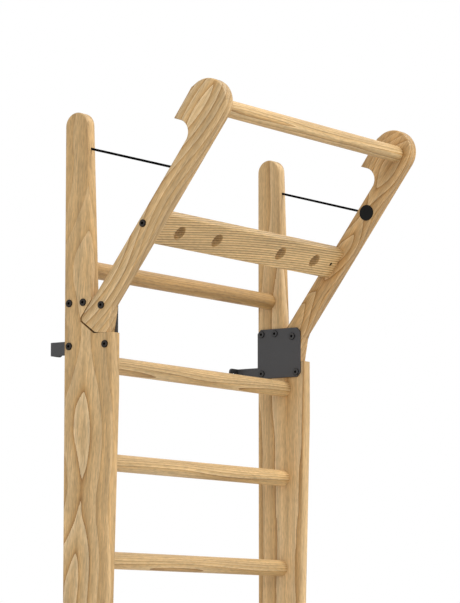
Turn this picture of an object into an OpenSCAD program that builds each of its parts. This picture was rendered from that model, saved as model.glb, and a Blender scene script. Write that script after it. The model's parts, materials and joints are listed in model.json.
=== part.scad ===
// Wooden wall ladder with a pull-up head that tilts forward on two pivots.
// Sizes are in millimetres. +Z is up, the front faces -Y and the wall is the plane Y = 0.
// The origin is the centre of the four wall holes. Heights in the modules count from the floor.
// In side views, u is the distance in front of the posts' back edge and z is the height.
// On an arm, w is the distance in front of its pivot and s is the distance along the arm above it.

/* [Overall] */
// Width across the outer faces of the posts
outer_width = 670; // [560:5:900]
// Thickness of the posts
post_t = 24; // [22:0.5:30]
// Distance from the wall to the back edge of the posts
wall_gap = 50; // [30:1:80]

/* [Ladder] */
// Diameter of the rungs
rung_d = 32; // [26:0.5:38]
// Height from one rung to the next
rung_pitch = 180; // [160:5:220]
// Number of rungs in the straight ladder, below the head
ladder_rungs = 10; // [5:1:12]
// Height of the lowest rung above the floor
low_rung_height = 160; // [120:5:220]
// Distance of the ladder rungs behind the front edge of the posts
rung_setback = 48; // [40:1:56]
// Distance of the top rung in front of the back edge of the posts
top_rung_u = 27; // [22:1:32]
// Depth of the blind sockets of the rungs and of the pull-up bar
socket_depth = 14; // [8:1:18]

/* [Posts] */
// Depth of the posts below the head
post_depth = 111; // [105:1:130]
// Depth of the posts in the lower part of the ladder
post_low_depth = 92; // [80:1:105]
// Distance from the ladder's highest rung down to the start of the taper
taper_drop = 60; // [20:5:120]
// Length of the taper
taper_run = 660; // [200:10:680]
// Width of the finger at its top
finger_w = 51; // [44:1:56]
// Height of the finger's top above the ladder's highest rung
finger_rise = 471; // [430:1:560]

/* [Head] */
// Distance of the pivot in front of the posts' back edge
pivot_u = 85; // [82:0.5:90]
// Height of the pivot above the ladder's highest rung
pivot_rise = 105.5; // [100:0.5:110]
// Forward tilt of the arms at rest, from upright
tilt = 37; // [34:0.5:40]
// Angle that the head swings back from rest
swing = 23.5; // [20:0.5:26]
// Distance of the arm's back edge behind the pivot
arm_back = 23.5; // [22:0.5:26]
// Distance of the arm's front edge in front of the pivot
arm_front = 18.5; // [18:0.5:24]
// Length of the arm's tail below the pivot
arm_tail = 48; // [42:0.5:50]
// Radius of the tail's back corner
tail_r = 8; // [5:0.5:10]
// Distance of the heel's toe in front of the pivot
heel_u = 13; // [8:0.5:16]
// Distance above the pivot, along the arm, at which the heel leaves the arm's front edge
heel_s = 11.5; // [5:0.5:20]
// Radius of the arm's round head
head_r = 44.5; // [40:0.5:50]
// Distance of the round head's centre above the pivot
head_s = 423.5; // [400:0.5:470]
// Distance of the hook notch's centre above the pivot
hook_s = 343.5; // [330:0.5:355]
// Radius of the hook notch
hook_r = 25; // [20:0.5:28]
// Slope of the hook's lower edge
hook_slope = 19; // [10:1:25]

/* [Pull-up bar and hold board] */
// Diameter of the pull-up bar
bar_d = 32; // [28:0.5:38]
// Distance of the bar above the pivot, along the arm
bar_s = 426; // [415:0.5:435]
// Distance of the bar behind the arm's front edge
bar_setback = 33.5; // [28:0.5:45]
// Height of the hold board
hold_h = 63; // [56:1:80]
// Thickness of the hold board
hold_t = 24; // [20:0.5:28]
// Distance of the board's middle above the pivot, along the arm
hold_s = 171.5; // [150:0.5:200]
// Diameter of the finger holes
finger_hole_d = 28; // [20:0.5:34]
// Distance of the inner finger holes from the middle
inner_hole_x = 109; // [60:1:130]
// Distance of the outer finger holes from the middle
outer_hole_x = 231; // [200:1:240]

/* [Steel plates] */
// Thickness of the plates and brackets
plate_t = 4; // [3:0.5:6]
// Width of the upper plates
plate_w = 102.5; // [98:0.5:106]
// Height of the upper plates
plate_h = 100; // [96:0.5:110]
// Height of the upper plates' lower edge above the ladder's highest rung
plate_rise = 23; // [20:0.5:26]
// Distance of the plates in front of the posts' back edge
plate_inset = 1.5; // [0.5:0.5:4]
// Size of the plates' cut corners
plate_chamfer = 8; // [3:0.5:8]
// Length of the lower brackets along the posts' faces
low_plate_w = 60; // [50:1:70]
// Height of the tabs that reach the wall
tab_h = 25.5; // [22:0.5:30]
// Distance of the tabs' lower edge below the plates' lower edge
tab_drop = 3; // [1:0.5:10]
// Width of the flanges that lie on the wall
flange_w = 32; // [24:1:40]
// Radius of the flanges' free corners
flange_r = 8; // [4:0.5:10]
// Diameter of the wall holes
wall_hole_d = 9; // [6:0.5:12]

/* [Fasteners] */
// Distance of the plate screws from the plates' edges
screw_margin = 10; // [8:0.5:12]
// Distance between the two screws in the upper plate's top row
screw_step = 32; // [26:0.5:34]
// Diameter of the screws' shanks
screw_d = 6; // [6:0.5:8]
// Diameter of the sleeve nuts, which are also the pivots
sleeve_d = 10; // [9:0.5:12]
// Diameter of the screw heads and sleeve nut heads
screw_head_d = 14; // [12:0.5:15]
// Height of the screw heads and sleeve nut heads
screw_head_h = 2.5; // [2:0.25:4]
// Size of the hexagon sockets, across corners
hex_socket_d = 5.8; // [4:0.2:5.8]
// Diameter of the barrel nuts in the hold board
barrel_nut_d = 8; // [8:0.5:10]
// Distance of the barrel nuts from the ends of the hold board
barrel_nut_inset = 20; // [16:1:30]
// Diameter of the wooden dowels beside the board's bolts
dowel_d = 8; // [6:0.5:10]
// Length of the dowels
dowel_l = 38; // [30:1:50]
// Distance of the dowels above and below the board's bolt
dowel_step = 18; // [15:0.5:20]
// Diameter of the thin screws that lock the pull-up bar
lock_screw_d = 4; // [3:0.5:5]

/* [Cords] */
// Diameter of the cords
cord_d = 4.5; // [3:0.5:5]
// Height of the cords at the fingers, above the ladder's highest rung
cord_rise = 401; // [380:1:425]
// Distance of the cord caps above the pivot, along the arm
cap_s = 295; // [270:0.5:310]
// Diameter of the cord caps
cap_d = 31.5; // [28:0.5:36]
// Height that the cord caps stand proud of the arm
cap_h = 1.6; // [1:0.1:3]
// Diameter of the pockets under the cord caps
pocket_d = 28; // [24:0.5:30]
// Diameter of the knots at the cords' ends
knot_d = 9; // [8:0.5:11]

/* [Hidden] */
$fn = 64;

// Clearances: round fits, faces that slide past each other, cords in their channels, the notch
fit = 0.05;
face_clear = 0.3;
cord_clear = 0.3;
swing_clear = 0.4;
notch_gap = 2.5;
stop_clear = 2;
// Room that a cut takes past a face
past = 1;

HANDS = ["left", "right"];
RUNGS = [for (i = [1 : ladder_rungs]) i];
SIDE_PIECES = ["post", "plate", "plate_screws", "plate_sleeves", "pivot_screw", "pivot_sleeve",
               "low_bracket", "low_bracket_screws", "low_bracket_sleeves", "cord", "cord_tail",
               "arm", "board_bolt", "barrel_nut", "dowels", "cord_knot", "cord_cap", "bar_lock_screw"];

wood = [0.80, 0.66, 0.46];
dark_wood = [0.72, 0.57, 0.37];
plate_grey = [0.28, 0.28, 0.28];
black = [0.09, 0.09, 0.09];
steel = [0.62, 0.62, 0.64];

// Faces of the posts and arms, from the middle plane
outer_x = outer_width / 2;
inner_x = outer_x - post_t;
arm_outer_x = outer_x - face_clear;
arm_inner_x = inner_x + face_clear;
arm_t = arm_outer_x - arm_inner_x;
mid_x = (outer_x + inner_x) / 2;

// Heights along the ladder
function rung_z(i) = low_rung_height + (i - 1) * rung_pitch;
high_rung_z = rung_z(ladder_rungs);
top_rung_z = high_rung_z + rung_pitch;
taper_top_z = high_rung_z - taper_drop;
taper_low_z = taper_top_z - taper_run;
function post_front(z) =
    post_low_depth
    + (post_depth - post_low_depth) * min(1, max(0, (z - taper_low_z) / taper_run));
function rung_u(z) = post_front(z) - rung_setback;

// The notch keeps clear of the circle that the arm's tail sweeps, and the heel's sole lies on the shoulder
pivot_z = high_rung_z + pivot_rise;
tail_reach = norm([arm_back - tail_r, arm_tail - tail_r]) + tail_r;
seat = tail_reach + swing_clear;
shoulder_z = pivot_z - seat;
notch_w = -arm_back - notch_gap;
notch_r = tail_r;
// The finger's lip clears the arm's back edge when the head is swung back
lip_s = (-notch_w * cos(swing) - arm_back - stop_clear) / sin(swing);
function arm_point(w, s) = [pivot_u + w * cos(tilt) + s * sin(tilt), pivot_z - w * sin(tilt) + s * cos(tilt)];
notch_foot = [pivot_u - seat * tan(tilt / 2), shoulder_z];
notch_corner = arm_point(notch_w, -seat);
notch_lip = arm_point(notch_w, lip_s);
finger_round_z = high_rung_z + finger_rise - finger_w / 2;

// Arm outline
head_w = arm_front - head_r;
head_back_w = head_w - head_r;
hook_w = -arm_back - hook_r;
hook_edge = [hook_w - hook_r * sin(hook_slope), hook_s + hook_r * cos(hook_slope)];
hook_tip_s = hook_edge[1] - (hook_edge[0] - head_back_w) * tan(hook_slope);
bar_w = arm_front - bar_setback;
arm_mid_w = (arm_front - arm_back) / 2;

// Hold board and its fasteners
hold_w = -arm_back + hold_t / 2;
barrel_nut_x = arm_inner_x - barrel_nut_inset;
nut_past_bolt = 8;
nut_sink = 1;
barrel_nut_bore = hold_t / 2 + nut_past_bolt;
board_bolt_l = arm_outer_x - barrel_nut_x + barrel_nut_d / 2;
board_bolt_room = 6;
dowel_in_arm = 12;
dowel_room = 1;

// Pull-up bar and its lock screws
bar_end_x = arm_inner_x + socket_depth - face_clear;
lock_x = arm_inner_x + 0.65 * socket_depth;
lock_head_d = 2 * lock_screw_d;
lock_head_h = 3;
lock_sink = 5;
lock_grip = 6;

// Upper plates: screws as [u, z]
plate_u = plate_inset + plate_w;
plate_z = high_rung_z + plate_rise;
plate_top_z = plate_z + plate_h;
plate_screws = [
    [plate_inset + screw_margin, plate_top_z - screw_margin],
    [plate_inset + screw_margin + screw_step, plate_top_z - screw_margin],
    [plate_inset + screw_margin, plate_z + screw_margin],
    [plate_u - screw_margin, plate_z + screw_margin]];
tab_z = plate_z - tab_drop;

// Lower brackets, midway between the two lowest rungs
low_bracket_z = (rung_z(1) + rung_z(2)) / 2;
low_tab_z = low_bracket_z - tab_h / 2;
low_screws = [
    [plate_inset + 1.5 * screw_margin, low_bracket_z],
    [plate_inset + low_plate_w - 1.5 * screw_margin, low_bracket_z]];

// Sleeve nuts reach from the plate almost to the post's outer face
sleeve_tip_gap = 3;
screw_l = 18;
screw_room = 1;

// Wall holes
flange_hole_x = inner_x - (flange_w + plate_t) / 2;
high_hole_z = tab_z + tab_h / 2;
origin_z = (high_hole_z + low_bracket_z) / 2;

// Cords run straight from the finger's front edge to the middle of the arm's pocket
cord_z = high_rung_z + cord_rise;
finger_lean = (notch_lip[0] - finger_w) / (finger_round_z - notch_lip[1]);
cord_from = [finger_w + (finger_round_z - cord_z) * finger_lean, cord_z];
pocket_at = arm_point(arm_mid_w, cap_s);
cord_aim = (pocket_at - cord_from) / norm(pocket_at - cord_from);
cord_drop = atan2(-cord_aim[1], cord_aim[0]);
// Share of each step along the cord that crosses the arm
cord_cross = cord_aim[0] * cos(tilt) - cord_aim[1] * sin(tilt);
cord_in_arm = (arm_mid_w + arm_back) / cord_cross;
cord_l = norm(pocket_at - cord_from) - cord_in_arm;
cord_ring_step = 2.5 * cord_d;
cord_steps = ceil(cord_l / cord_ring_step);
cord_sides = 8;
cord_bore_d = cord_d + 2 * cord_clear;
knot_room = 0.6;
knot_side_room = 1;
knot_seat = 0.5;
pocket_depth = arm_t / 2 + knot_d / 2 + knot_room;
cap_plug = 5;
knot_sink_d = knot_d + 2 * knot_side_room;
knot_sink = knot_d - knot_seat;
knot_u = knot_d / 2;
tail_l = (cord_from[0] - knot_u) / cos(cord_drop);
knot_in_arm = cord_in_arm - pocket_d / 2 + knot_d / 2 + cord_clear;

// Places and directions
module on_side(hand) {
    if (hand == "left") mirror([1, 0, 0]) children();
    else children();
}

module from_floor() {
    translate([0, -wall_gap, -origin_z]) children();
}

module arm_frame() {
    from_floor() translate([0, -pivot_u, pivot_z]) rotate([tilt, 0, 0]) children();
}

// A side-view outline made a board between two distances from the middle
module side_board(from_x, to_x) {
    translate([to_x, 0, 0]) rotate([90, 0, -90]) linear_extrude(to_x - from_x) children();
}

// A cylinder along X from one distance to another, at side-view point [u, z]
module cross_bore(at, from_x, to_x, d) {
    translate([from_x, -at[0], at[1]]) rotate([0, 90, 0]) cylinder(d = d, h = to_x - from_x);
}

// The frame of a cord: +Z runs along it to the front, from the finger's front edge
module cord_frame() {
    translate([mid_x, -cord_from[0], cord_from[1]]) rotate([90 + cord_drop, 0, 0]) children();
}

// Posts
module post_outline() {
    polygon([
        [0, 0],
        [post_low_depth, 0],
        [post_low_depth, taper_low_z],
        [post_depth, taper_top_z],
        [post_depth, shoulder_z],
        notch_foot,
        notch_corner,
        notch_lip,
        [finger_w, finger_round_z],
        [0, finger_round_z]]);
    translate([finger_w / 2, finger_round_z]) circle(d = finger_w);
    translate([pivot_u, pivot_z]) rotate(-tilt) translate([notch_w, -seat]) difference() {
        translate([-past, -past]) square(notch_r + past);
        translate([notch_r, notch_r]) circle(notch_r);
    }
}

module post() {
    color(wood) from_floor() difference() {
        side_board(inner_x, outer_x) post_outline();
        for (i = RUNGS)
            cross_bore([rung_u(rung_z(i)), rung_z(i)], inner_x - past, inner_x + socket_depth, rung_d + 2 * fit);
        cross_bore([top_rung_u, top_rung_z], inner_x - past, inner_x + socket_depth, rung_d + 2 * fit);
        for (at = concat(plate_screws, low_screws))
            cross_bore(at, inner_x - past, outer_x + past, sleeve_d + 2 * fit);
        cord_frame() translate([0, 0, -2 * finger_w]) cylinder(d = cord_bore_d, h = 3 * finger_w);
        translate([mid_x, past, cord_from[1] + (cord_from[0] - knot_u) * tan(cord_drop)]) rotate([90, 0, 0])
            cylinder(d = knot_sink_d, h = knot_sink + past);
    }
}

// Rungs
module rung(u, z) {
    half = inner_x + socket_depth - face_clear;
    color(wood) from_floor() cross_bore([u, z], -half, half, rung_d);
}

// Plates and brackets
module plate_outline() {
    tab_top_z = tab_z + tab_h;
    polygon([
        [-wall_gap, tab_z],
        [-tab_drop, tab_z],
        [0, plate_z],
        [plate_u - plate_chamfer, plate_z],
        [plate_u, plate_z + plate_chamfer],
        [plate_u, plate_top_z - plate_chamfer],
        [plate_u - plate_chamfer, plate_top_z],
        [plate_inset + plate_chamfer, plate_top_z],
        [plate_inset, plate_top_z - plate_chamfer],
        [plate_inset, tab_top_z],
        [-wall_gap, tab_top_z]]);
}

module low_bracket_outline() {
    front_u = plate_inset + low_plate_w;
    low_tab_top_z = low_tab_z + tab_h;
    polygon([
        [-wall_gap, low_tab_z],
        [front_u - plate_chamfer, low_tab_z],
        [front_u, low_tab_z + plate_chamfer],
        [front_u, low_tab_top_z - plate_chamfer],
        [front_u - plate_chamfer, low_tab_top_z],
        [-wall_gap, low_tab_top_z]]);
}

// A flange on the wall, with its free corners round
module flange() {
    translate([flange_r - flange_w, 0]) square([flange_w - flange_r, tab_h]);
    translate([-flange_w, flange_r]) square([2 * flange_r, tab_h - 2 * flange_r]);
    for (z = [flange_r, tab_h - flange_r])
        translate([flange_r - flange_w, z]) circle(flange_r);
}

// A bent steel bracket: its outline on the post's inner face, with a flange on the wall
module bracket(bottom_z, holes) {
    color(plate_grey) from_floor() difference() {
        union() {
            side_board(inner_x - plate_t, inner_x) children();
            translate([inner_x, wall_gap, bottom_z]) rotate([90, 0, 0]) linear_extrude(plate_t) flange();
        }
        for (at = holes)
            cross_bore(at, inner_x - plate_t - past, inner_x + past, sleeve_d + 2 * fit);
        translate([flange_hole_x, wall_gap + past, bottom_z + tab_h / 2]) rotate([90, 0, 0])
            cylinder(d = wall_hole_d, h = plate_t + 2 * past);
    }
}

module plate() {
    bracket(tab_z, concat(plate_screws, [[pivot_u, pivot_z]])) plate_outline();
}

module low_bracket() {
    bracket(low_tab_z, low_screws) low_bracket_outline();
}

// Fasteners
// A round head that starts at the origin and stands up, with a bevelled rim and a hexagon socket down to the shank
module socket_head(d, h) {
    rim = h / 3;
    difference() {
        union() {
            cylinder(d = d, h = h - rim);
            translate([0, 0, h - rim]) cylinder(d1 = d, d2 = d - 2 * rim, h = rim);
        }
        translate([0, 0, -past]) cylinder(d = hex_socket_d, h = h + 2 * past, $fn = 6);
    }
}

// A sleeve nut on the plate's inner face, reaching through plate and post
module sleeve_nut(at) {
    face_x = inner_x - plate_t;
    sleeve_end_x = outer_x - sleeve_tip_gap;
    translate([0, -at[0], at[1]]) rotate([0, 90, 0]) difference() {
        union() {
            translate([0, 0, face_x]) cylinder(d = sleeve_d, h = sleeve_end_x - face_x);
            translate([0, 0, face_x]) mirror([0, 0, 1]) socket_head(screw_head_d, screw_head_h);
        }
        translate([0, 0, outer_x - screw_l - screw_room]) cylinder(d = screw_d + 2 * fit, h = screw_l);
    }
}

// A screw from the post's outer face into the sleeve nut
module sleeve_screw(at) {
    translate([0, -at[0], at[1]]) rotate([0, 90, 0]) {
        translate([0, 0, outer_x]) socket_head(screw_head_d, screw_head_h);
        translate([0, 0, outer_x - screw_l]) cylinder(d = screw_d, h = screw_l);
    }
}

module plate_screw_group() {
    color(black) from_floor() for (at = plate_screws) sleeve_screw(at);
}

module plate_sleeve_group() {
    color(plate_grey) from_floor() for (at = plate_screws) sleeve_nut(at);
}

module pivot_screw() {
    color(black) from_floor() sleeve_screw([pivot_u, pivot_z]);
}

module pivot_sleeve() {
    color(plate_grey) from_floor() sleeve_nut([pivot_u, pivot_z]);
}

module low_screw_group() {
    color(black) from_floor() for (at = low_screws) sleeve_screw(at);
}

module low_sleeve_group() {
    color(plate_grey) from_floor() for (at = low_screws) sleeve_nut(at);
}

// Cords
// Points round one ring of a cord, at a distance along it
function cord_ring(along) = [
    for (k = [0 : cord_sides - 1])
        [cord_d / 2 * cos(360 * k / cord_sides), cord_d / 2 * sin(360 * k / cord_sides), along]];
cord_route = [for (i = [0 : cord_steps]) cord_l * i / cord_steps];

module cord() {
    points = [for (along = cord_route) each cord_ring(along)];
    last = cord_steps * cord_sides;
    walls = [
        for (i = [0 : cord_steps - 1])
            for (k = [0 : cord_sides - 1])
                let (next = (k + 1) % cord_sides, low = i * cord_sides, high = low + cord_sides)
                [low + k, high + k, high + next, low + next]];
    ends = [
        [for (k = [0 : cord_sides - 1]) k],
        [for (k = [cord_sides - 1 : -1 : 0]) last + k]];
    color(black) from_floor() cord_frame() polyhedron(points, concat(walls, ends));
}

module cord_tail() {
    color(black) from_floor() cord_frame() {
        translate([0, 0, -tail_l]) cylinder(d = cord_d, h = tail_l);
        translate([0, 0, -tail_l]) sphere(d = knot_d);
    }
}

module cord_knot() {
    color(black) from_floor() cord_frame() translate([0, 0, cord_l]) {
        cylinder(d = cord_d, h = knot_in_arm);
        translate([0, 0, knot_in_arm]) sphere(d = knot_d);
    }
}

module cord_cap() {
    color(black) arm_frame() {
        cross_bore([arm_mid_w, cap_s], arm_inner_x - cap_h, arm_inner_x, cap_d);
        cross_bore([arm_mid_w, cap_s], arm_inner_x, arm_inner_x + cap_plug, pocket_d - 2 * fit);
    }
}

// Arms
// Arm coordinates of a point by its distances in front of the pivot and above it
function on_arm(du, dz) = [du * cos(tilt) - dz * sin(tilt), du * sin(tilt) + dz * cos(tilt)];

// The heel between the tail and the front edge: behind the pivot it stays in the circle that the notch clears
module heel_outline() {
    polygon([[0, 0], on_arm(0, -tail_reach), on_arm(heel_u, -tail_reach), [arm_front, heel_s], [0, heel_s]]);
    intersection() {
        circle(tail_reach);
        polygon([[0, 0], [-past, -arm_tail], [arm_tail * tan(tilt) + past, -arm_tail]]);
    }
}

module arm_outline() {
    translate([-arm_back, tail_r - arm_tail]) square([arm_back + arm_front, head_s + arm_tail - tail_r]);
    translate([tail_r - arm_back, -arm_tail]) square([arm_back - tail_r, 2 * tail_r]);
    translate([tail_r - arm_back, tail_r - arm_tail]) circle(tail_r);
    heel_outline();
    translate([head_w, head_s]) circle(head_r);
    difference() {
        polygon([
            [head_back_w, hook_tip_s],
            hook_edge,
            [hook_w, hook_s],
            [-arm_back, hook_s],
            [-arm_back, head_s],
            [head_back_w, head_s]]);
        translate([hook_w, hook_s]) circle(hook_r);
    }
}

module arm() {
    color(wood) difference() {
        arm_frame() side_board(arm_inner_x, arm_outer_x) arm_outline();
        arm_frame() {
            cross_bore([0, 0], arm_inner_x - past, arm_outer_x + past, sleeve_d + 2 * fit);
            cross_bore([bar_w, bar_s], arm_inner_x - past, arm_inner_x + socket_depth, bar_d + 2 * fit);
            cross_bore([hold_w, hold_s], arm_inner_x - past, arm_outer_x + past, screw_d + 2 * fit);
            for (step = [-dowel_step, dowel_step])
                cross_bore([hold_w, hold_s + step], arm_inner_x - past, arm_inner_x + dowel_in_arm,
                           dowel_d + 2 * fit);
            cross_bore([arm_mid_w, cap_s], arm_inner_x - past, arm_inner_x + pocket_depth, pocket_d);
            translate([lock_x, -bar_w, bar_s]) rotate([-90, 0, 0])
                cylinder(d = lock_screw_d + 2 * fit, h = bar_w - head_back_w + past);
            translate([lock_x, -head_back_w - lock_sink, bar_s]) rotate([-90, 0, 0])
                cylinder(d = lock_head_d + 2 * fit, h = lock_sink + past);
        }
        from_floor() cord_frame() translate([0, 0, cord_l - arm_back]) cylinder(d = cord_bore_d, h = 2 * arm_back);
    }
}

// Pull-up bar, locked at each end by a thin screw from the arm's back edge
module pull_up_bar() {
    color(wood) arm_frame() difference() {
        cross_bore([bar_w, bar_s], -bar_end_x, bar_end_x, bar_d);
        for (x = [-lock_x, lock_x])
            translate([x, -bar_w - lock_grip, bar_s]) rotate([-90, 0, 0])
                cylinder(d = lock_screw_d + 2 * fit, h = bar_d);
    }
}

module bar_lock_screw() {
    head_y = -head_back_w - lock_sink;
    color(steel) arm_frame() translate([lock_x, 0, bar_s]) rotate([-90, 0, 0]) {
        translate([0, 0, -bar_w - lock_grip + fit]) cylinder(d = lock_screw_d, h = head_y + bar_w + lock_grip - fit);
        translate([0, 0, head_y]) cylinder(d = lock_head_d, h = lock_head_h);
    }
}

// Hold board between the arms
module hold_board() {
    color(dark_wood) arm_frame() difference() {
        translate([-arm_inner_x, -hold_w - hold_t / 2, hold_s - hold_h / 2])
            cube([2 * arm_inner_x, hold_t, hold_h]);
        for (x = [-outer_hole_x, -inner_hole_x, inner_hole_x, outer_hole_x])
            translate([x, -hold_w - hold_t, hold_s]) rotate([-90, 0, 0]) cylinder(d = finger_hole_d, h = 2 * hold_t);
        for (hand = HANDS) on_side(hand) {
            cross_bore([hold_w, hold_s], barrel_nut_x - board_bolt_room, arm_inner_x + past, screw_d + 2 * fit);
            for (step = [-dowel_step, dowel_step])
                cross_bore([hold_w, hold_s + step], arm_inner_x + dowel_in_arm - dowel_l - dowel_room,
                           arm_inner_x + past, dowel_d + 2 * fit);
            translate([barrel_nut_x, -hold_w - hold_t / 2 - past, hold_s]) rotate([-90, 0, 0])
                cylinder(d = barrel_nut_d + 2 * fit, h = barrel_nut_bore + past);
        }
    }
}

module board_bolt() {
    color(black) arm_frame() translate([0, -hold_w, hold_s]) rotate([0, 90, 0]) {
        translate([0, 0, arm_outer_x]) socket_head(screw_head_d, screw_head_h);
        translate([0, 0, arm_outer_x - board_bolt_l]) cylinder(d = screw_d, h = board_bolt_l);
    }
}

module barrel_nut() {
    nut_l = barrel_nut_bore - nut_sink;
    color(black) arm_frame() difference() {
        translate([barrel_nut_x, -hold_w - hold_t / 2 + nut_sink, hold_s]) rotate([-90, 0, 0])
            cylinder(d = barrel_nut_d, h = nut_l);
        cross_bore([hold_w, hold_s], barrel_nut_x - barrel_nut_d, barrel_nut_x + barrel_nut_d, screw_d + 2 * fit);
    }
}

module dowel_group() {
    color(wood) arm_frame() for (step = [-dowel_step, dowel_step])
        cross_bore([hold_w, hold_s + step], arm_inner_x + dowel_in_arm - dowel_l, arm_inner_x + dowel_in_arm - fit,
                   dowel_d);
}

for (hand = HANDS) {
    on_side(hand) post();
    on_side(hand) plate();
    on_side(hand) plate_screw_group();
    on_side(hand) plate_sleeve_group();
    on_side(hand) pivot_screw();
    on_side(hand) pivot_sleeve();
    on_side(hand) low_bracket();
    on_side(hand) low_screw_group();
    on_side(hand) low_sleeve_group();
    on_side(hand) cord();
    on_side(hand) cord_tail();
    on_side(hand) arm();
    on_side(hand) board_bolt();
    on_side(hand) barrel_nut();
    on_side(hand) dowel_group();
    on_side(hand) cord_knot();
    on_side(hand) cord_cap();
    on_side(hand) bar_lock_screw();
}
for (i = RUNGS)
    rung(rung_u(rung_z(i)), rung_z(i));
rung(top_rung_u, top_rung_z);  // top_rung
pull_up_bar();
hold_board();
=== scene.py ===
"""Looks of the wooden wall ladder and its tilting pull-up head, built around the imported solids.

Sizes are in metres in the solids' own frame: +Z is up, the front faces -Y and the wall is the plane Y = 0.
Only the figure of the wood is given in millimetres.
"""
import json
import math

import bmesh
import bpy
from mathutils import Euler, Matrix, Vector


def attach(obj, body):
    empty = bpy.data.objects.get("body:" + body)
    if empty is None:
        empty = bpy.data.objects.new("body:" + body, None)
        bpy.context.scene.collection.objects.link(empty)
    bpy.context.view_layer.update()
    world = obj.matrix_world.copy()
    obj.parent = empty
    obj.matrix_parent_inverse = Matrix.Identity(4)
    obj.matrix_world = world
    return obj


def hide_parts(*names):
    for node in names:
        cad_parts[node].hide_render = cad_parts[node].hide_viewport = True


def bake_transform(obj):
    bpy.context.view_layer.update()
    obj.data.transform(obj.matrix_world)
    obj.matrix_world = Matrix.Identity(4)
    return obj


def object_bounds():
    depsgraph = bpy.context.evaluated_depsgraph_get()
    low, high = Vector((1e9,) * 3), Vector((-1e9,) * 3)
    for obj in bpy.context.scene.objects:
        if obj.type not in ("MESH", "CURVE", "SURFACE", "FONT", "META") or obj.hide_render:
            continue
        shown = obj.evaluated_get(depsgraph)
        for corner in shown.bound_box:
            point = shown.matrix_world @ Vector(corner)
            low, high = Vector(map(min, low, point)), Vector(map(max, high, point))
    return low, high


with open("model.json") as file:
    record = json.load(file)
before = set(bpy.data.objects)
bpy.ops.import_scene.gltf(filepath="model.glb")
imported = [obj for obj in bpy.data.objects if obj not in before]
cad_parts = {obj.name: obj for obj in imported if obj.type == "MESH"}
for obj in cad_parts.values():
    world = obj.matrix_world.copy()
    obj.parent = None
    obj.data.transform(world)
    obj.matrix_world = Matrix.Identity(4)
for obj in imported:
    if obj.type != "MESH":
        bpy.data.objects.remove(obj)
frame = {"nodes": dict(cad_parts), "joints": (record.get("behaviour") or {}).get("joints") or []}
cad_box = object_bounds()

MM = 0.001
# The way to each side along X
SIDES = {"left": -1, "right": 1}
# The head's pivots, seen in the middle plane, and how far the head leans forward at rest
PIVOT = Vector(frame["joints"][0]["pos_m"])
TILT = math.radians(37)

# Camera at the photograph's place, looking slightly up from below the head
CAMERA_AT = (-4.6600, -3.3726, 0.2062)
CAMERA_PITCH = math.radians(6.910)
CAMERA_TURN = math.radians(-55.697)
CAMERA_SENSOR_W = 36
CAMERA_LENS = 176.53
CAMERA_REACH = 100

# The right cord's straight route, from the finger's front edge to the arm's back edge
CORD_FROM = Vector((0.323, -0.102458, 1.149625))
CORD_TO = Vector((0.323, -0.288834, 1.097318))
CORD_D = 4.5 * MM
CORD_STEPS = 24
CORD_SIDES = 12
# Strands of the braid, half of them winding each way, and the length in which a strand crosses one other
BRAID_STRANDS = 8
BRAID_STEP = CORD_D / 2
# The knots at the cords' ends, and how far the cords run into finger and arm up to the knots' middles
KNOT_D = 9 * MM
KNOT_TURNS = 1.5
KNOT_STEPS = 36
KNOT_LEAD_STEPS = 4
FINGER_RUN = 49.8 * MM
POCKET_RUN = 13.3 * MM

# Radii that the router leaves on the edges of posts and arms, of the hold board and of its finger holes
SIDE_EDGE_R = 3 * MM
BOARD_EDGE_R = 3 * MM
HOLE_EDGE_R = 1.5 * MM
# Round the pivot, where tail and notch lie together, the edges stay as the saw leaves them: on the posts
# within this radius, and on the arms up to this distance above it
PIVOT_CRISP_R = 62 * MM
ARM_CRISP_S = 8 * MM
ARM_WAY = Vector((0, -math.sin(TILT), math.cos(TILT)))
FINGER_HOLE_R = 14 * MM
FINGER_HOLES_X = (-0.231, -0.109, 0.109, 0.231)
# Edges of the hold board that reach further than this along X run its whole length
BOARD_LONG_EDGE = 0.5
# Broken edges of the steel plates and of the caps
PLATE_EDGE_R = 0.7 * MM
CAP_EDGE_R = 0.6 * MM

# Faces that turn by less than FLAT_TURN are one flat face and by less than SMOOTH_TURN are shaded as one.
# They meet in a corner where they turn by more than CORNER_TURN.
FLAT_TURN = math.radians(0.5)
SMOOTH_TURN = math.radians(32)
CORNER_TURN = math.radians(40)
# The X part of the normal of a face that looks sideways is more than this
SIDEWAYS = 0.99
# Points nearer than JOIN_GAP lie together, and slivers thinner than SLIVER are closed up
JOIN_GAP = 0.1 * MM
SLIVER = 0.02 * MM

# Distances from the middle plane at which the heads of screws and sleeve nuts start to turn black and are
# black, just below their tops: painted shade round their rims and down in their sockets
SCREW_SHADE_X = (337.15 * MM, 336.85 * MM)
SLEEVE_SHADE_X = (304.7 * MM, 305.2 * MM)

# The floor lies under the feet. It is paler to the camera, so that it meets the white background
FLOOR_Z = cad_box[0][2]
FLOOR_R = 7
FLOOR_SIDES = 96
FLOOR_GLOW = 0.25
# Strength of the world's light on the object, where 1 is white
AMBIENT = 0.51


def add_piece(name, bm, material):
    """Makes an object of a finished bmesh, smooth except at its sharp edges."""
    mesh = bpy.data.meshes.new(name)
    bm.to_mesh(mesh)
    bm.free()
    mesh.shade_smooth()
    mesh.set_sharp_from_angle(angle=SMOOTH_TURN)
    mesh.materials.clear()
    mesh.materials.append(material)
    piece = bpy.data.objects.new(name, mesh)
    bpy.context.scene.collection.objects.link(piece)
    return piece


# Shader helpers

def colour(code):
    """Linear colour of an sRGB hex value such as #C8A46E."""
    channels = [int(code[i:i + 2], 16) / 255 for i in (1, 3, 5)]
    linear = [c / 12.92 if c <= 0.04045 else ((c + 0.055) / 1.055) ** 2.4 for c in channels]
    return (*linear, 1)


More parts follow.
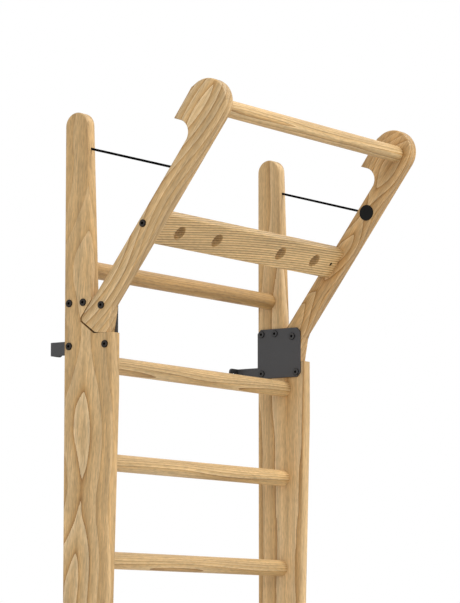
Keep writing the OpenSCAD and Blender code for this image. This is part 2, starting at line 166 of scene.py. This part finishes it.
def add(tree, kind, inputs=None, **settings):
    """Adds a node, sets its properties, and sets its inputs or links them to other nodes' outputs."""
    node = tree.nodes.new(kind)
    for name, value in settings.items():
        setattr(node, name, value)
    for key, value in (inputs or {}).items():
        if isinstance(value, bpy.types.NodeSocket):
            tree.links.new(value, node.inputs[key])
        else:
            node.inputs[key].default_value = value
    return node


def new_material(name):
    """An empty node material, with its tree and its output node."""
    material = bpy.data.materials.new(name)
    material.use_nodes = True
    tree = material.node_tree
    tree.nodes.clear()
    return material, tree, add(tree, "ShaderNodeOutputMaterial")


def set_stops(ramp, stops):
    """Gives a colour ramp its stops, each a place and a hex value."""
    elements = ramp.color_ramp.elements
    while len(elements) < len(stops):
        elements.new(1)
    for element, (place, code) in zip(elements, stops):
        element.position = place
        element.color = colour(code)


# Wood

# Patterns that lie along the grain of ash: size across and along the grain in millimetres, octaves and
# roughness. Fibres are drawn four times and pores three times as coarse as real ones, so that they show at
# this size. Rings waver over a hand's width, and paler and darker streaks are a finger wide.
GRAIN_PATTERNS = {
    "fibre": (3, 140, 4, 0.7),
    "pore": (2.4, 14, 1, 0.5),
    "waver": (45, 190, 2, 0.5),
    "streak": (14, 420, 2, 0.5)}
# How the patterns shade the wood: the values that count as low and high, and the tones that they give.
# End grain drinks more oil and goes darker.
GRAIN_TONES = {
    "fibre": (0.3, 0.7, 0.8, 1.19),
    "pore": (0.3, 0.6, 0.82, 1.03),
    "streak": (0.3, 0.7, 0.82, 1.16),
    "end grain": (0.5, 0.95, 1, 0.72)}
# How far the rings waver and how far the fibres feather their edges, as shares of a ring's width
RING_WAVER = 0.6
RING_FEATHER = 0.1
# Distance from the heart is measured with this power, between a straight measure, 1, and a round one, 2,
# so that flames end in a point and fade to straight lines
FLAME_POWER = 1.3
# Steps of the heart's uneven drift in one of its waves
DRIFT_STEPS = 0.8
# Millimetres along the grain by which the figure moves for each millimetre between repeated pieces
REPEAT_SHIFT = 2.3


def heart_distance(tree, grain, pith, swell, period, start, repeat):
    """Distance from the log's heart, whose wander along the board closes rings into flames and lenses."""
    pith_across, pith_depth = pith
    axes = add(tree, "ShaderNodeSeparateXYZ", {"Vector": grain}).outputs
    depth_place = axes["X"]
    along = axes["Z"]
    if repeat:
        depth_place = add(tree, "ShaderNodeMath", {
            0: axes["X"], 1: repeat / 2, 2: -repeat / 2}, operation="WRAP").outputs[0]
        along = add(tree, "ShaderNodeMath", {
            0: axes["X"], 1: REPEAT_SHIFT, 2: axes["Z"]}, operation="MULTIPLY_ADD").outputs[0]

    # An even wave in depth, and an uneven drift in depth and across
    wave_run = add(tree, "ShaderNodeMath", {
        0: along, 1: 2 * math.pi / period, 2: -2 * math.pi * start / period}, operation="MULTIPLY_ADD")
    wave = add(tree, "ShaderNodeMath", {0: wave_run.outputs[0]}, operation="SINE")
    depth_wave = add(tree, "ShaderNodeMath", {
        0: wave.outputs[0], 1: swell / 2, 2: depth_place}, operation="MULTIPLY_ADD")
    drift_run = add(tree, "ShaderNodeMath", {
        0: along, 1: DRIFT_STEPS / period, 2: start}, operation="MULTIPLY_ADD")
    drift = add(tree, "ShaderNodeTexNoise", {
        "W": drift_run.outputs[0], "Scale": 1, "Detail": 2, "Roughness": 0.5},
        noise_dimensions="1D").outputs["Fac"]
    depth_drift = add(tree, "ShaderNodeMath", {
        0: drift, 1: swell, 2: pith_depth - swell / 2}, operation="MULTIPLY_ADD")
    depth = add(tree, "ShaderNodeMath", {
        0: depth_drift.outputs[0], 1: depth_wave.outputs[0]}, operation="ADD")
    across_drift = add(tree, "ShaderNodeMath", {
        0: drift, 1: 2 * swell, 2: -swell - pith_across}, operation="MULTIPLY_ADD")
    across = add(tree, "ShaderNodeMath", {0: across_drift.outputs[0], 1: axes["Y"]}, operation="ADD")

    parts = []
    for part in (across, depth):
        size = add(tree, "ShaderNodeMath", {0: part.outputs[0]}, operation="ABSOLUTE")
        raised = add(tree, "ShaderNodeMath", {0: size.outputs[0], 1: FLAME_POWER}, operation="POWER")
        parts.append(raised.outputs[0])
    part_sum = add(tree, "ShaderNodeMath", {0: parts[0], 1: parts[1]}, operation="ADD")
    radius = add(tree, "ShaderNodeMath", {0: part_sum.outputs[0], 1: 1 / FLAME_POWER}, operation="POWER")
    return radius.outputs[0]


# Ash, plain-sawn, planed and oiled: broad flame and lens figures in a warm straw colour. Each ring starts
# with a thin brown line and pales towards its end, with short pores, fine fibres along the grain and a soft
# satin gloss. turn brings the grain upright, and centre is the point, in metres, from which the figure is
# measured. pith is the heart's place in millimetres: how far across the board and how deep behind it. ring is
# the rings' width, swell the heart's wander in depth, period the length of one wander and start the place
# along the grain where one begins, all in millimetres. stops are the tones from a ring's start to its end,
# and fade is how much the lines soften away from the heart. Pieces that stand repeat millimetres apart in
# depth get like figures.
def oiled_ash(name, turn, centre, pith, ring, swell, period, start, stops, fade, repeat=0):
    material, tree, output = new_material(name)
    to_grain = Euler(turn).to_matrix()
    middle = to_grain @ (Vector(centre) * (1 / MM))
    surface_place = add(tree, "ShaderNodeTexCoord").outputs
    grain = add(tree, "ShaderNodeMapping", {
        "Vector": surface_place["Object"], "Scale": (1 / MM, 1 / MM, 1 / MM), "Rotation": turn,
        "Location": -middle}).outputs["Vector"]
    patterns = {}
    for pattern, (across_mm, along_mm, octaves, roughness) in GRAIN_PATTERNS.items():
        stretched = add(tree, "ShaderNodeVectorMath", {
            0: grain, 1: (1 / across_mm, 1 / across_mm, 1 / along_mm)}, operation="MULTIPLY")
        patterns[pattern] = add(tree, "ShaderNodeTexNoise", {
            "Vector": stretched.outputs["Vector"], "Scale": 1, "Detail": octaves,
            "Roughness": roughness}).outputs["Fac"]

    radius = heart_distance(tree, grain, pith, swell, period, start, repeat)
    wavered = add(tree, "ShaderNodeMath", {
        0: patterns["waver"], 1: RING_WAVER * ring, 2: radius}, operation="MULTIPLY_ADD")
    feathered = add(tree, "ShaderNodeMath", {
        0: patterns["fibre"], 1: RING_FEATHER * ring, 2: wavered.outputs[0]}, operation="MULTIPLY_ADD")
    ring_count = add(tree, "ShaderNodeMath", {0: feathered.outputs[0], 1: 1 / ring}, operation="MULTIPLY")
    phase = add(tree, "ShaderNodeMath", {0: ring_count.outputs[0]}, operation="FRACT")
    ring_colour = add(tree, "ShaderNodeValToRGB", {"Fac": phase.outputs[0]})
    set_stops(ring_colour, stops)
    # Away from the heart the rings are cut steeply and their lines soften to the tone inside a ring
    soft_code = stops[2][1]
    softness = add(tree, "ShaderNodeMapRange", {
        "Value": radius, "From Min": pith[1], "From Max": pith[1] + ring, "To Min": 0, "To Max": fade})
    soft_colour = add(tree, "ShaderNodeMix", {
        "Factor": softness.outputs["Result"], "A": ring_colour.outputs["Color"], "B": colour(soft_code)},
        data_type="RGBA")

    facing = add(tree, "ShaderNodeVectorMath", {
        0: surface_place["Normal"], 1: to_grain[2]}, operation="DOT_PRODUCT")
    patterns["end grain"] = add(tree, "ShaderNodeMath", {
        0: facing.outputs["Value"]}, operation="ABSOLUTE").outputs[0]
    tone = 1
    for pattern, (low, high, low_tone, high_tone) in GRAIN_TONES.items():
        shade = add(tree, "ShaderNodeMapRange", {
            "Value": patterns[pattern], "From Min": low, "From Max": high, "To Min": low_tone,
            "To Max": high_tone})
        tone = add(tree, "ShaderNodeMath", {
            0: tone, 1: shade.outputs["Result"]}, operation="MULTIPLY").outputs[0]
    wood_colour = add(tree, "ShaderNodeVectorMath", {
        0: soft_colour.outputs["Result"], 3: tone}, operation="SCALE")

    gloss = add(tree, "ShaderNodeMapRange", {
        "Value": patterns["fibre"], "From Min": 0.25, "From Max": 0.75, "To Min": 0.58, "To Max": 0.44})
    relief = add(tree, "ShaderNodeBump", {"Height": patterns["pore"], "Strength": 0.25, "Distance": 0.3 * MM})
    surface = add(tree, "ShaderNodeBsdfPrincipled", {
        "Base Color": wood_colour.outputs["Vector"], "Roughness": gloss.outputs["Result"], "IOR": 1.48,
        "Normal": relief.outputs["Normal"]})
    tree.links.new(surface.outputs["BSDF"], output.inputs["Surface"])
    return material


# Tones from the start of a ring to its end
SIDE_TONES = [(0, "#9A6C37"), (0.07, "#BE935A"), (0.25, "#D0AA74"), (0.7, "#DBB987"), (1, "#E5C799")]
# Painted shade: the right arm's tones are darker and browner than the left's, as it turns away from the key
# light
SHADED_BROWN_TONES = [(0, "#8C5E2B"), (0.07, "#B4864A"), (0.25, "#C99F67"), (0.7, "#D4AD77"), (1, "#DEBB88")]
BOARD_TONES = [(0, "#744D1F"), (0.14, "#A4763B"), (0.3, "#D6AE72"), (0.7, "#E6C48C"), (1, "#EFD19C")]
RUNG_TONES = [(0, "#926530"), (0.1, "#B88D53"), (0.3, "#D1AC75"), (0.7, "#DDBB86"), (1, "#E7C998")]
# Painted shade: the top rung's tones are darker and browner than the other rungs', as it lies under the head
SHADED_TOP_RUNG_TONES = [(0, "#8A6030"), (0.1, "#AA8149"), (0.3, "#BD965F"), (0.7, "#C5A06B"), (1, "#CCA977")]
# Turns that bring the grain of each piece upright. That of the left post slants, and that of the hold board
# rises a little to the right.
UPRIGHT = (0, 0, 0)
SLANTING = (math.radians(-3.5), math.radians(4.5), 0)
LEANING = (-TILT, 0, 0)
CROSSWISE = (0, math.radians(-90), 0)
LEANING_CROSSWISE = (-TILT, math.radians(-85), 0)
# The figure that all rungs share, one rung spacing apart
RUNG_FIGURE = {
    "centre": (0, -0.1, 0.028625), "pith": (22, 90), "ring": 5, "swell": 5, "period": 520, "start": 60,
    "repeat": 180}

post_wood = {
    "left": oiled_ash("oiled_ash_left_post", SLANTING, centre=(-0.279, -0.105, 0.028), pith=(50, 45), ring=24,
                      swell=20, period=290, start=684, stops=SIDE_TONES, fade=0.7),
    "right": oiled_ash("oiled_ash_right_post", UPRIGHT, centre=(0.323, -0.105, 0), pith=(-20, 43), ring=30,
                       swell=18, period=800, start=980, stops=SIDE_TONES, fade=0.4)}
arm_wood = {
    "left": oiled_ash("oiled_ash_left_arm", LEANING, centre=(-0.323, -0.248, 1.004), pith=(30, 53), ring=12,
                      swell=24, period=360, start=312, stops=SIDE_TONES, fade=0.4),
    # The right arm gets the darker, browner tones: painted shade
    "right": oiled_ash("oiled_ash_right_arm_shaded", LEANING, centre=(0.323, -0.26, 1.02), pith=(5, 46), ring=12,
                       swell=20, period=190, start=237, stops=SHADED_BROWN_TONES, fade=0.4)}
board_wood = oiled_ash("oiled_ash_board", LEANING_CROSSWISE, centre=(0, -0.229, 0.998), pith=(30, 130),
                       ring=5, swell=18, period=1200, start=900, stops=BOARD_TONES, fade=0)
rung_wood = oiled_ash("oiled_ash_rungs", CROSSWISE, stops=RUNG_TONES, fade=0.1, **RUNG_FIGURE)
# The top rung gets the darker, browner tones: painted shade
shaded_top_rung_wood = oiled_ash("oiled_ash_top_rung_shaded", CROSSWISE, stops=SHADED_TOP_RUNG_TONES, fade=0.5, **RUNG_FIGURE)


# Steel, cord and plastic

# Powder-coated steel: dark grey, matt and even, with the faint orange-peel that the baked powder leaves. The
# cut edges and the flanges, which face the front, are painted darker than the broad faces: painted shade.
def powder_coat(name):
    material, tree, output = new_material(name)
    surface_place = add(tree, "ShaderNodeTexCoord").outputs
    grit = add(tree, "ShaderNodeTexNoise", {
        "Vector": surface_place["Object"], "Scale": 1 / (1.6 * MM), "Detail": 2}).outputs["Fac"]
    tone = add(tree, "ShaderNodeValToRGB", {"Fac": grit})
    set_stops(tone, [(0.3, "#3E3E40"), (0.7, "#4A4A4C")])
    # Painted shade: faces that turn from the sides towards the front go down to three tenths of the tone
    sideways = add(tree, "ShaderNodeSeparateXYZ", {"Vector": surface_place["Normal"]}).outputs["X"]
    broad = add(tree, "ShaderNodeMath", {0: sideways}, operation="ABSOLUTE")
    depth = add(tree, "ShaderNodeMapRange", {
        "Value": broad.outputs[0], "From Min": 0.5, "From Max": 0.95, "To Min": 0.3, "To Max": 1})
    shade = add(tree, "ShaderNodeVectorMath", {
        0: tone.outputs["Color"], 3: depth.outputs["Result"]}, operation="SCALE")
    gloss = add(tree, "ShaderNodeMapRange", {"Value": grit, "To Min": 0.52, "To Max": 0.66})
    peel = add(tree, "ShaderNodeBump", {"Height": grit, "Strength": 0.3, "Distance": 0.2 * MM})
    surface = add(tree, "ShaderNodeBsdfPrincipled", {
        "Base Color": shade.outputs["Vector"], "Roughness": gloss.outputs["Result"], "IOR": 1.5,
        "Normal": peel.outputs["Normal"]})
    tree.links.new(surface.outputs["BSDF"], output.inputs["Surface"])
    return material


# Treated steel of the screws and sleeve nuts: dull on top of the heads, with fine grit. Round their rims and
# down in their sockets they are painted black and lose their gloss: painted shade. top_x and deep_x are the
# distances from the middle plane at which the painted shade starts and is full, and stops are the tones on
# top.
def treated_steel(name, top_x, deep_x, stops):
    material, tree, output = new_material(name)
    place = add(tree, "ShaderNodeTexCoord").outputs["Object"]
    axes = add(tree, "ShaderNodeSeparateXYZ", {"Vector": place}).outputs
    # Painted shade: black below the heads' tops, by distance from the middle plane
    away = add(tree, "ShaderNodeMath", {0: axes["X"]}, operation="ABSOLUTE")
    painted_socket_shade = add(tree, "ShaderNodeMapRange", {
        "Value": away.outputs[0], "From Min": top_x, "From Max": deep_x}).outputs["Result"]
    grit = add(tree, "ShaderNodeTexNoise", {"Vector": place, "Scale": 1 / (0.8 * MM), "Detail": 3})
    tone = add(tree, "ShaderNodeValToRGB", {"Fac": grit.outputs["Fac"]})
    set_stops(tone, stops)
    shade = add(tree, "ShaderNodeMix", {
        "Factor": painted_socket_shade, "A": tone.outputs["Color"], "B": colour("#030303")}, data_type="RGBA")
    sheen = add(tree, "ShaderNodeMapRange", {"Value": painted_socket_shade, "To Min": 0.3, "To Max": 0.02})
    surface = add(tree, "ShaderNodeBsdfPrincipled", {
        "Base Color": shade.outputs["Result"], "Roughness": 0.55,
        "Specular IOR Level": sheen.outputs["Result"]})
    tree.links.new(surface.outputs["BSDF"], output.inputs["Surface"])
    return material


# Zinc-plated steel of the bar's lock screws: pale grey with a soft mottled sheen.
def zinc_plate(name):
    material, tree, output = new_material(name)
    place = add(tree, "ShaderNodeTexCoord").outputs["Object"]
    mottle = add(tree, "ShaderNodeTexNoise", {
        "Vector": place, "Scale": 1 / (1.5 * MM), "Detail": 2}).outputs["Fac"]
    tone = add(tree, "ShaderNodeValToRGB", {"Fac": mottle})
    set_stops(tone, [(0.3, "#8E8E90"), (0.7, "#A8A8AA")])
    gloss = add(tree, "ShaderNodeMapRange", {"Value": mottle, "To Min": 0.3, "To Max": 0.45})
    surface = add(tree, "ShaderNodeBsdfPrincipled", {
        "Base Color": tone.outputs["Color"], "Roughness": gloss.outputs["Result"], "Metallic": 1})
    tree.links.new(surface.outputs["BSDF"], output.inputs["Surface"])
    return material


# Braided polyester cord: strands crossing on the slant round the cord, black, each strand catching a little
# light. The UV map runs once round the cord in U and in the braid's steps along it in V.
def braided_polyester(name):
    material, tree, output = new_material(name)
    place = add(tree, "ShaderNodeTexCoord").outputs["UV"]
    axes = add(tree, "ShaderNodeSeparateXYZ", {"Vector": place}).outputs
    turns = add(tree, "ShaderNodeMath", {0: axes["X"], 1: BRAID_STRANDS}, operation="MULTIPLY")
    rise = add(tree, "ShaderNodeMath", {0: turns.outputs[0], 1: axes["Y"]}, operation="ADD")
    fall = add(tree, "ShaderNodeMath", {0: turns.outputs[0], 1: axes["Y"]}, operation="SUBTRACT")
    rising = add(tree, "ShaderNodeMath", {0: rise.outputs[0], 1: 1}, operation="PINGPONG")
    falling = add(tree, "ShaderNodeMath", {0: fall.outputs[0], 1: 1}, operation="PINGPONG")
    strand = add(tree, "ShaderNodeMath", {
        0: rising.outputs[0], 1: falling.outputs[0]}, operation="MAXIMUM").outputs[0]
    tone = add(tree, "ShaderNodeValToRGB", {"Fac": strand})
    set_stops(tone, [(0.3, "#020202"), (0.9, "#0A0A0A")])
    relief = add(tree, "ShaderNodeBump", {"Height": strand, "Strength": 0.6, "Distance": 0.3 * MM})
    surface = add(tree, "ShaderNodeBsdfPrincipled", {
        "Base Color": tone.outputs["Color"], "Roughness": 0.9, "IOR": 1.46, "Specular IOR Level": 0.04,
        "Normal": relief.outputs["Normal"]})
    tree.links.new(surface.outputs["BSDF"], output.inputs["Surface"])
    return material


# Moulded polyamide: black caps with a fine spark-eroded grain and a dull surface.
def moulded_polyamide(name):
    material, tree, output = new_material(name)
    place = add(tree, "ShaderNodeTexCoord").outputs["Object"]
    grain = add(tree, "ShaderNodeTexNoise", {
        "Vector": place, "Scale": 1 / (0.9 * MM), "Detail": 2}).outputs["Fac"]
    tone = add(tree, "ShaderNodeValToRGB", {"Fac": grain})
    set_stops(tone, [(0.3, "#090909"), (0.7, "#111110")])
    relief = add(tree, "ShaderNodeBump", {"Height": grain, "Strength": 0.3, "Distance": 0.2 * MM})
    surface = add(tree, "ShaderNodeBsdfPrincipled", {
        "Base Color": tone.outputs["Color"], "Roughness": 0.7, "IOR": 1.53, "Specular IOR Level": 0.18,
        "Normal": relief.outputs["Normal"]})
    tree.links.new(surface.outputs["BSDF"], output.inputs["Surface"])
    return material


plate_coat = powder_coat("powder_coated_steel")
screw_black = treated_steel("black_oxide_steel", *SCREW_SHADE_X, [(0.3, "#221D18"), (0.7, "#2D2721")])
sleeve_grey = treated_steel("phosphated_steel", *SLEEVE_SHADE_X, [(0.3, "#3B3B3C"), (0.7, "#484849")])
screw_zinc = zinc_plate("zinc_plated_steel")
cord_braid = braided_polyester("braided_polyester")
cap_black = moulded_polyamide("moulded_polyamide")


# Cords

def sweep_cord(name, route, material):
    """A closed tube along a route's points, with a UV map that runs round it in U and along it in V."""
    runs = [(b - a).normalized() for a, b in zip(route, route[1:])]
    ways = [runs[0], *((a + b).normalized() for a, b in zip(runs, runs[1:])), runs[-1]]
    bm = bmesh.new()
    uv = bm.loops.layers.uv.new("braid")
    ring = bmesh.ops.create_circle(bm, segments=CORD_SIDES, radius=CORD_D / 2)["verts"]
    bmesh.ops.rotate(bm, verts=ring, matrix=ways[0].to_track_quat("Z", "X").to_matrix())
    bmesh.ops.translate(bm, verts=ring, vec=route[0])
    edges = list(bm.edges)
    # Each point's share of the way round the cord, and its distance along it
    place = {vert: (i / CORD_SIDES, 0) for i, vert in enumerate(ring)}
    length = 0
    for i in range(1, len(route)):
        made = bmesh.ops.extrude_edge_only(bm, edges=edges)["geom"]
        ring = [item for item in made if isinstance(item, bmesh.types.BMVert)]
        edges = [item for item in made if isinstance(item, bmesh.types.BMEdge) and len(item.link_faces) == 1]
        length += (route[i] - route[i - 1]).length
        for vert in ring:
            before = next(edge.other_vert(vert) for edge in vert.link_edges if edge.other_vert(vert) in place)
            place[vert] = (place[before][0], length)
        turn = ways[i - 1].rotation_difference(ways[i]).to_matrix()
        bmesh.ops.rotate(bm, verts=ring, cent=route[i - 1], matrix=turn)
        bmesh.ops.translate(bm, verts=ring, vec=route[i] - route[i - 1])
    bmesh.ops.holes_fill(bm, edges=bm.edges, sides=CORD_SIDES)
    bmesh.ops.recalc_face_normals(bm, faces=bm.faces)
    for face in bm.faces:
        first = place[face.loops[0].vert][0]
        for loop in face.loops:
            round_share, along = place[loop.vert]
            # The face that closes the ring keeps to one side of the seam
            round_share = first + (round_share - first + 0.5) % 1 - 0.5
            loop[uv].uv = (round_share, along / BRAID_STEP)
    return add_piece(name, bm, material)


def knot_route(start, way, length):
    """A straight run that ends in a tight stopper knot, which fills a ball round the run's end."""
    across = Vector((1, 0, 0))
    upward = way.cross(across)
    reach = (KNOT_D - CORD_D) / 2
    lead = length - KNOT_D / 2
    route = [start + way * lead * i / KNOT_LEAD_STEPS for i in range(KNOT_LEAD_STEPS)]
    for i in range(KNOT_STEPS + 1):
        share = i / KNOT_STEPS
        turn = 2 * math.pi * KNOT_TURNS * share
        out = reach * math.sqrt(math.sin(math.pi * share)) if 0 < i < KNOT_STEPS else 0
        along = length + reach * (2 * share - 1)
        route.append(start + way * along + (across * math.cos(turn) + upward * math.sin(turn)) * out)
    return route


def add_cord(hand):
    """A taut cord from finger to arm, and its knotted ends in the wood."""
    start = Vector((SIDES[hand] * CORD_FROM.x, CORD_FROM.y, CORD_FROM.z))
    end = Vector((SIDES[hand] * CORD_TO.x, CORD_TO.y, CORD_TO.z))
    way = (end - start).normalized()
    route = [start.lerp(end, i / CORD_STEPS) for i in range(CORD_STEPS + 1)]
    cord = sweep_cord(f"{hand}_braided_cord", route, cord_braid)
    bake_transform(cord)
    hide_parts(f"{hand}_cord")
    finger_end = sweep_cord(f"{hand}_finger_knot", knot_route(start, -way, FINGER_RUN), cord_braid)
    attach(finger_end, "frame")
    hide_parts(f"{hand}_cord_tail")
    pocket_end = sweep_cord(f"{hand}_pocket_knot", knot_route(end, way, POCKET_RUN), cord_braid)
    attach(pocket_end, "head")
    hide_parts(f"{hand}_cord_knot")


for hand in SIDES:
    add_cord(hand)


# Rounded wood and bevelled steel, made from copies of the solids

def merged_copy(node):
    """A bmesh of a solid's own mesh, with its triangles joined and its flat faces whole."""
    bm = bmesh.new()
    bm.from_mesh(frame["nodes"][node].data)
    bmesh.ops.remove_doubles(bm, verts=bm.verts, dist=JOIN_GAP)
    bmesh.ops.dissolve_limit(bm, angle_limit=FLAT_TURN, verts=bm.verts, edges=bm.edges)
    bm.normal_update()
    return bm


def outline_edges(bm):
    """Edges between a side board's two flat sides and the wall round its outline, without those of holes."""
    side_planes = (min(vert.co.x for vert in bm.verts), max(vert.co.x for vert in bm.verts))
    flat = {face for face in bm.faces
            if abs(face.normal.x) > SIDEWAYS
            and min(abs(face.calc_center_median().x - plane) for plane in side_planes) < JOIN_GAP}
    walls = {face for face in bm.faces
             if face not in flat and any(near in flat for edge in face.edges for near in edge.link_faces)}
    # Walls fall into groups that hang together, and the largest group is the outline
    outline = set()
    while walls:
        group = set()
        reached = [walls.pop()]
        while reached:
            face = reached.pop()
            group.add(face)
            for near in {near for edge in face.edges for near in edge.link_faces} & walls:
                walls.remove(near)
                reached.append(near)
        outline = max(outline, group, key=lambda faces: sum(face.calc_area() for face in faces))
    return [edge for edge in bm.edges
            if len(set(edge.link_faces) & flat) == 1 and len(set(edge.link_faces) & outline) == 1]


def corners(bm):
    """Edges where two faces meet in a corner."""
    return [edge for edge in bm.edges if edge.calc_face_angle(0) > CORNER_TURN]


def round_edges(bm, edges, radius, segments):
    bmesh.ops.bevel(bm, geom=edges, offset=radius, offset_type="OFFSET", affect="EDGES", segments=segments,
                    profile=0.5, material=-1, clamp_overlap=False, loop_slide=False)


def add_rounded(node, bm, material, body):
    """Finishes a rounded copy so that its flat faces keep flat shading, and puts it in the solid's place."""
    bmesh.ops.dissolve_degenerate(bm, dist=SLIVER, edges=bm.edges)
    piece = add_piece(f"{node}_rounded", bm, material)
    piece.modifiers.new("flat faces stay flat", "WEIGHTED_NORMAL").keep_sharp = True
    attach(piece, body)
    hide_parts(node)


def add_side_board(node, material, body):
    """A post or arm with its outline rounded, except round the pivot."""
    bm = merged_copy(node)
    if body == "head":
        bmesh.ops.bisect_plane(bm, geom=[*bm.verts, *bm.edges, *bm.faces], dist=SLIVER,
                               plane_co=PIVOT + ARM_WAY * ARM_CRISP_S, plane_no=ARM_WAY)
    rounded = []
    for edge in outline_edges(bm):
        middle = (edge.verts[0].co + edge.verts[1].co) / 2 - PIVOT
        if math.hypot(middle.y, middle.z) > PIVOT_CRISP_R:
            rounded.append(edge)
    round_edges(bm, rounded, SIDE_EDGE_R, segments=4)
    add_rounded(node, bm, material, body)


def add_hold_board():
    """The hold board, with its long edges and the finger holes' rims rounded."""
    bm = merged_copy("hold_board")
    long_edges = [edge for edge in corners(bm)
                  if abs(edge.verts[0].co.x - edge.verts[1].co.x) > BOARD_LONG_EDGE]
    round_edges(bm, long_edges, BOARD_EDGE_R, segments=3)
    reach = FINGER_HOLE_R + JOIN_GAP
    rims = [edge for edge in corners(bm)
            if min(abs(edge.verts[0].co.x - hole_x) for hole_x in FINGER_HOLES_X) < reach]
    round_edges(bm, rims, HOLE_EDGE_R, segments=3)
    add_rounded("hold_board", bm, board_wood, "head")


def add_bevelled(node, material, body, radius):
    """A copy with every corner broken a little."""
    bm = merged_copy(node)
    round_edges(bm, corners(bm), radius, segments=2)
    add_rounded(node, bm, material, body)


for hand in SIDES:
    add_side_board(f"{hand}_post", post_wood[hand], "frame")
    add_side_board(f"{hand}_arm", arm_wood[hand], "head")
    add_bevelled(f"{hand}_plate", plate_coat, "frame", PLATE_EDGE_R)
    add_bevelled(f"{hand}_low_bracket", plate_coat, "frame", PLATE_EDGE_R)
    add_bevelled(f"{hand}_cord_cap", cap_black, "head", CAP_EDGE_R)
add_hold_board()


# Finishes of the solids that show as they are

def finish_of(node):
    """Material of a solid that shows. Solids that have been replaced stay hidden, whatever they get."""
    # Painted shade: the top rung gets its darker, browner wood
    if node == "top_rung":
        return shaded_top_rung_wood
    if node.startswith(("rung_", "pull_up_bar")) or node.endswith("dowels"):
        return rung_wood
    if node.endswith("bar_lock_screw"):
        return screw_zinc
    if node.endswith(("sleeve", "sleeves")):
        return sleeve_grey
    return screw_black


for node, solid in frame["nodes"].items():
    solid.data.materials.clear()
    solid.data.materials.append(finish_of(node))


# Camera, floor, light and background

def add_camera():
    camera = bpy.data.objects.new("camera", bpy.data.cameras.new("camera"))
    camera.location = CAMERA_AT
    camera.rotation_euler = (math.radians(90) + CAMERA_PITCH, 0, CAMERA_TURN)
    camera.data.sensor_width = CAMERA_SENSOR_W
    camera.data.lens = CAMERA_LENS
    camera.data.clip_end = CAMERA_REACH
    bpy.context.scene.collection.objects.link(camera)
    bpy.context.scene.camera = camera


def add_floor():
    """A pale, matt studio floor with faint clouds half a metre wide."""
    material, tree, output = new_material("pale_studio_floor")
    place = add(tree, "ShaderNodeTexCoord").outputs["Object"]
    cloud = add(tree, "ShaderNodeTexNoise", {"Vector": place, "Scale": 1 / (500 * MM), "Detail": 2})
    tone = add(tree, "ShaderNodeValToRGB", {"Fac": cloud.outputs["Fac"]})
    set_stops(tone, [(0.3, "#EEEDEB"), (0.7, "#F2F1EF")])
    seen = add(tree, "ShaderNodeLightPath").outputs["Is Camera Ray"]
    glow = add(tree, "ShaderNodeMath", {0: seen, 1: FLOOR_GLOW}, operation="MULTIPLY")
    surface = add(tree, "ShaderNodeBsdfPrincipled", {
        "Base Color": tone.outputs["Color"], "Roughness": 0.9, "Emission Color": colour("#FFFFFF"),
        "Emission Strength": glow.outputs[0]})
    tree.links.new(surface.outputs["BSDF"], output.inputs["Surface"])
    bm = bmesh.new()
    bmesh.ops.create_circle(bm, cap_ends=True, segments=FLOOR_SIDES, radius=FLOOR_R)
    bmesh.ops.translate(bm, verts=bm.verts, vec=(0, 0, FLOOR_Z))
    add_piece("floor", bm, material)


def add_lamp(name, at, target, size, watts):
    lamp = bpy.data.objects.new(name, bpy.data.lights.new(name, "AREA"))
    lamp.data.shape = "DISK"
    lamp.data.size = size
    lamp.data.energy = watts
    lamp.location = at
    lamp.rotation_euler = (Vector(at) - Vector(target)).to_track_quat("Z", "Y").to_euler()
    bpy.context.scene.collection.objects.link(lamp)


def add_world():
    """White where it is seen, in gloss too, and a softer light on the object."""
    world = bpy.data.worlds.new("studio")
    world.use_nodes = True
    bpy.context.scene.world = world
    tree = world.node_tree
    tree.nodes.clear()
    path = add(tree, "ShaderNodeLightPath").outputs
    seen = add(tree, "ShaderNodeMath", {
        0: path["Is Camera Ray"], 1: path["Is Glossy Ray"]}, operation="MAXIMUM")
    shown = add(tree, "ShaderNodeMath", {
        0: seen.outputs[0], 1: path["Is Transmission Ray"]}, operation="MAXIMUM")
    strength = add(tree, "ShaderNodeMapRange", {"Value": shown.outputs[0], "To Min": AMBIENT, "To Max": 1})
    background = add(tree, "ShaderNodeBackground", {
        "Color": colour("#FFFFFF"), "Strength": strength.outputs["Result"]})
    output = add(tree, "ShaderNodeOutputWorld")
    tree.links.new(background.outputs["Background"], output.inputs["Surface"])


add_camera()
add_floor()
add_world()
add_lamp("key", at=(0.9, -3.0, 4.8), target=(0, -0.15, 0.6), size=2, watts=180)
add_lamp("fill", at=(-4.5, -2.0, 2.2), target=(0, -0.15, 0.5), size=3, watts=55)
bpy.context.scene.view_settings.view_transform = "Standard"
